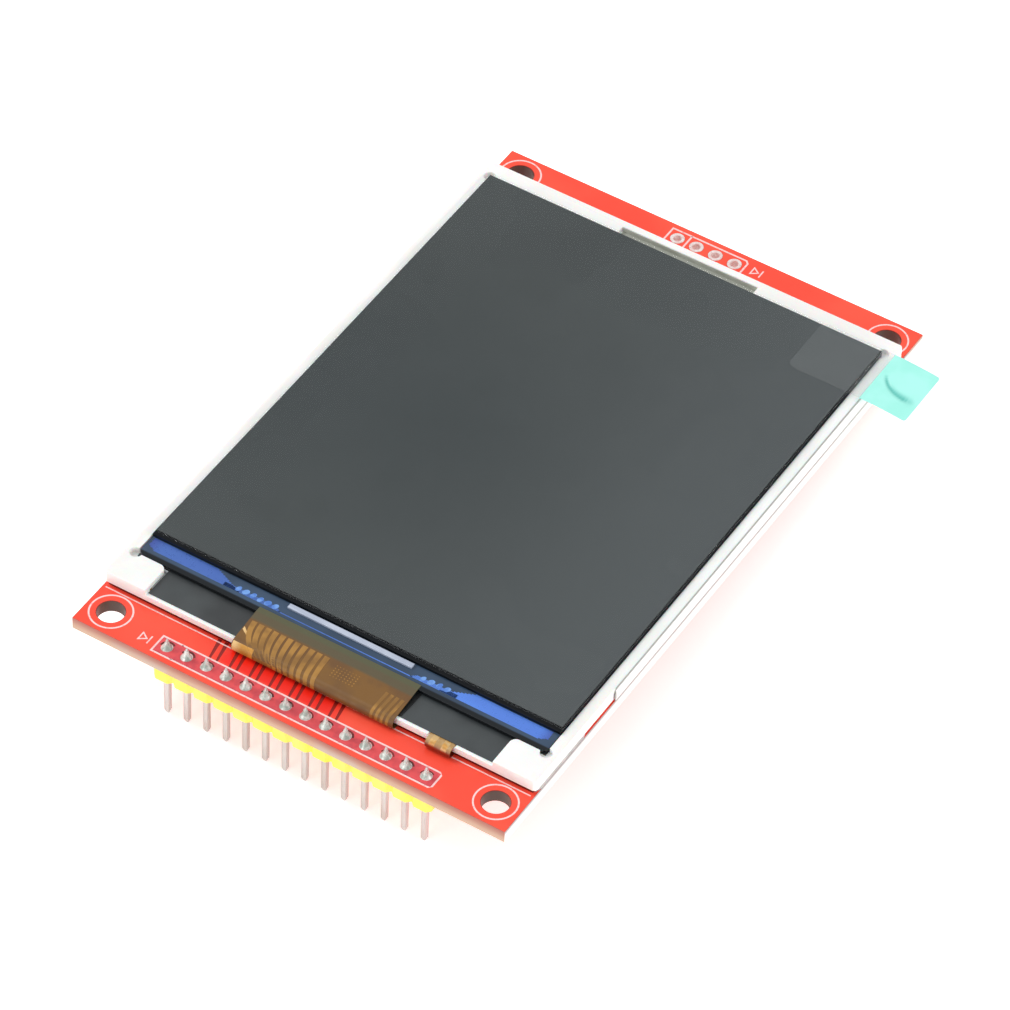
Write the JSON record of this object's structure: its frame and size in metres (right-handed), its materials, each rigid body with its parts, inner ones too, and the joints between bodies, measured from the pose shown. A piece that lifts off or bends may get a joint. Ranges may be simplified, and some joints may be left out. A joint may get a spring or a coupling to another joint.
{
  "type": "tft display module",
  "caption": "Small colour display module: a panel in a white frame on a red circuit board, with a pin header at one end and a memory card socket underneath.",
  "frame": {"origin": "centre of the four mounting holes, on the underside of the circuit board", "axes": "+X across the board, to the right when the screen is seen with the pin header nearest; +Y along the board, away from the pin header; +Z out of the screen"},
  "size_m": [0.061, 0.0892, 0.0129],
  "materials": {
    "solder_mask": "glossy red solder mask over glass-epoxy board",
    "tin_plate": "bright tin plate",
    "gold_plate": "gold plated bronze",
    "solder": "bright solder",
    "yellow_plastic": "moulded",
    "white_plastic": "moulded",
    "white_foam": "foam tape",
    "white_film": "white reflective film",
    "clear_acrylic": "polished clear",
    "clear_film": "clear film",
    "led_resin": "moulded with yellow resin",
    "amber_film": "amber film over copper",
    "black_film": "satin black film",
    "dark_film": "dark polarizing film",
    "cell_glass": "polished glass with metal tracks",
    "chip_silicon": "polished silicon",
    "mint_film": "clear and mint green film",
    "white_tape": "paper-like tape",
    "black_plastic": "moulded",
    "steel_sheet": "folded nickel plated sheet",
    "black_resin": "moulded resin",
    "resistor_body": "glazed",
    "capacitor_body": "fired"
  },
  "bodies": {
    "root": {"circuit_board": "solder_mask", "plated_holes": "tin_plate", "header_body": "yellow_plastic", "header_pins": "tin_plate", "header_solder": "solder", "mounting_tape": "white_foam", "reflector_sheet": "white_film", "backlight_frame": "white_plastic", "light_guide": "clear_acrylic", "led_packages": "led_resin", "led_flex": "amber_film", "diffuser_sheet": "white_film", "lower_prism_sheet": "clear_film", "upper_prism_sheet": "clear_film", "rim_tape": "black_film", "lower_polarizer": "dark_film", "array_glass": "cell_glass", "colour_filter_glass": "cell_glass", "upper_polarizer": "dark_film", "driver_chip": "chip_silicon", "display_flex": "amber_film", "protective_film": "clear_film", "pull_tab": "mint_film", "side_tape": "white_tape", "card_socket_base": "black_plastic", "card_socket_shell": "steel_sheet", "card_contacts": "gold_plate", "voltage_regulator": "black_resin", "backlight_transistor": "black_resin", "package_leads": "tin_plate", "resistors": "resistor_body", "capacitors": "capacitor_body", "chip_end_metal": "tin_plate"}
  },
  "joints": []
}
